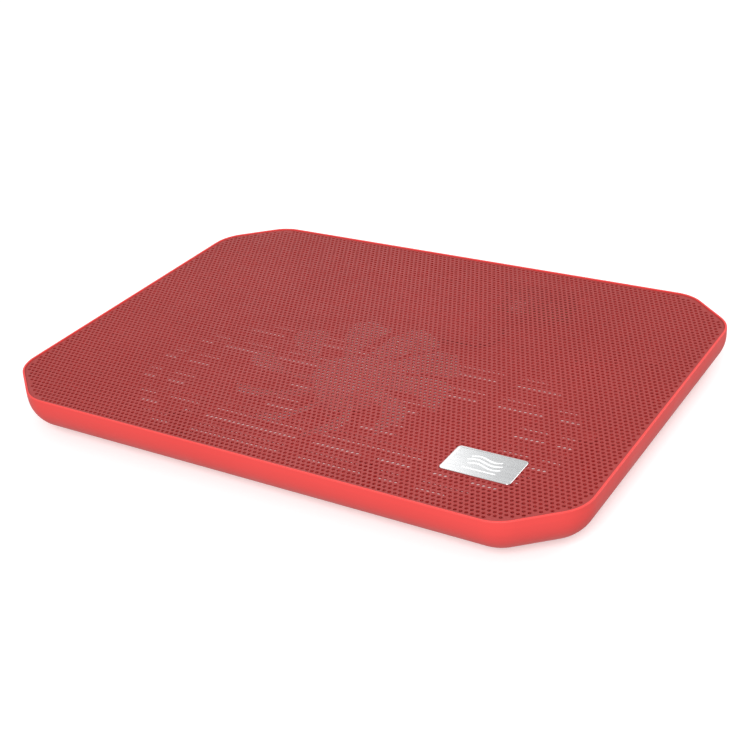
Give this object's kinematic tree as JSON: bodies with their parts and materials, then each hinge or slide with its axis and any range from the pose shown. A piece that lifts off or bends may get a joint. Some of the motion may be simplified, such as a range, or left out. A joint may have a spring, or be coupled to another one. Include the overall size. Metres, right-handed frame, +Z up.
{
  "type": "laptop cooling pad",
  "caption": "Low tray-shaped laptop cooling pad with a perforated metal top, one large central fan, fold-out rear legs and rear USB sockets.",
  "frame": {"origin": "on the desk surface under the centre of the pad, with the legs folded", "axes": "+X to the user's right along the long side, +Y to the rear, +Z up out of the metal sheet"},
  "size_m": [0.35, 0.252, 0.026],
  "materials": {
    "red_plastic": "bright red moulded plastic, satin gloss",
    "red_mesh": "perforated steel sheet with a red powder coat",
    "steel": "zinc plated steel",
    "shaft_steel": "ground steel",
    "adhesive": "thin foam tape",
    "badge": "brushed aluminium plate",
    "fan_plastic": "milky translucent plastic",
    "ferrite": "dark bonded ferrite",
    "black_plastic": "black moulded plastic",
    "bronze": "sintered bronze",
    "circuit_board": "green solder mask",
    "copper": "enamelled copper wire",
    "lead_sheath": "black soft sheath",
    "white_plastic": "off-white moulded plastic",
    "can_aluminium": "drawn aluminium can",
    "socket_steel": "tin plated sheet steel",
    "rubber": "matt dark rubber"
  },
  "bodies": {
    "root": {"bottom_shell": "red_plastic", "mesh_top": "red_mesh", "mesh_brackets": "red_mesh", "case_screws": "steel", "badge_adhesive": "adhesive", "badge_plate": "badge", "motor_base": "red_plastic", "bearing_cap": "black_plastic", "bearing_sleeve": "bronze", "fan_board": "circuit_board", "stator_core": "steel", "stator_coils": "copper", "fan_screws": "steel", "fan_lead": "lead_sheath", "fan_plug": "white_plastic", "fan_header": "white_plastic", "power_board": "circuit_board", "board_screws": "steel", "board_capacitor": "can_aluminium", "usb_socket_left": "socket_steel", "usb_socket_right": "socket_steel", "usb_tongues": "white_plastic", "port_bezel": "red_plastic", "switch_body": "black_plastic", "leg_pin_left": "shaft_steel", "leg_pin_right": "shaft_steel", "front_foot_left": "rubber", "front_foot_right": "rubber", "rear_foot_left": "rubber", "rear_foot_right": "rubber"},
    "fan": {"fan_rotor": "fan_plastic", "rotor_yoke": "steel", "rotor_magnet": "ferrite", "rotor_shaft": "shaft_steel", "shaft_clip": "steel"},
    "leg_left": {"rear_leg_left": "red_plastic", "leg_pad_left": "rubber"},
    "leg_right": {"rear_leg_right": "red_plastic", "leg_pad_right": "rubber"},
    "switch": {"switch_slider": "black_plastic"}
  },
  "joints": [
    {"name": "fan_spin", "type": "hinge", "parent": "root", "child": "fan", "pos_m": [0, -0.024, 0.014], "axis": [0, 0, 1], "continuous": true},
    {"name": "leg_left_fold", "type": "hinge", "parent": "root", "child": "leg_left", "pos_m": [-0.108, 0.096, 0.0064], "axis": [1, 0, 0], "range_deg": [0, 105]},
    {"name": "leg_right_fold", "type": "hinge", "parent": "root", "child": "leg_right", "pos_m": [0.108, 0.096, 0.0064], "axis": [1, 0, 0], "range_deg": [0, 105]},
    {"name": "switch_slide", "type": "slide", "parent": "root", "child": "switch", "axis": [1, 0, 0], "range_m": [0, 0.0035]}
  ]
}
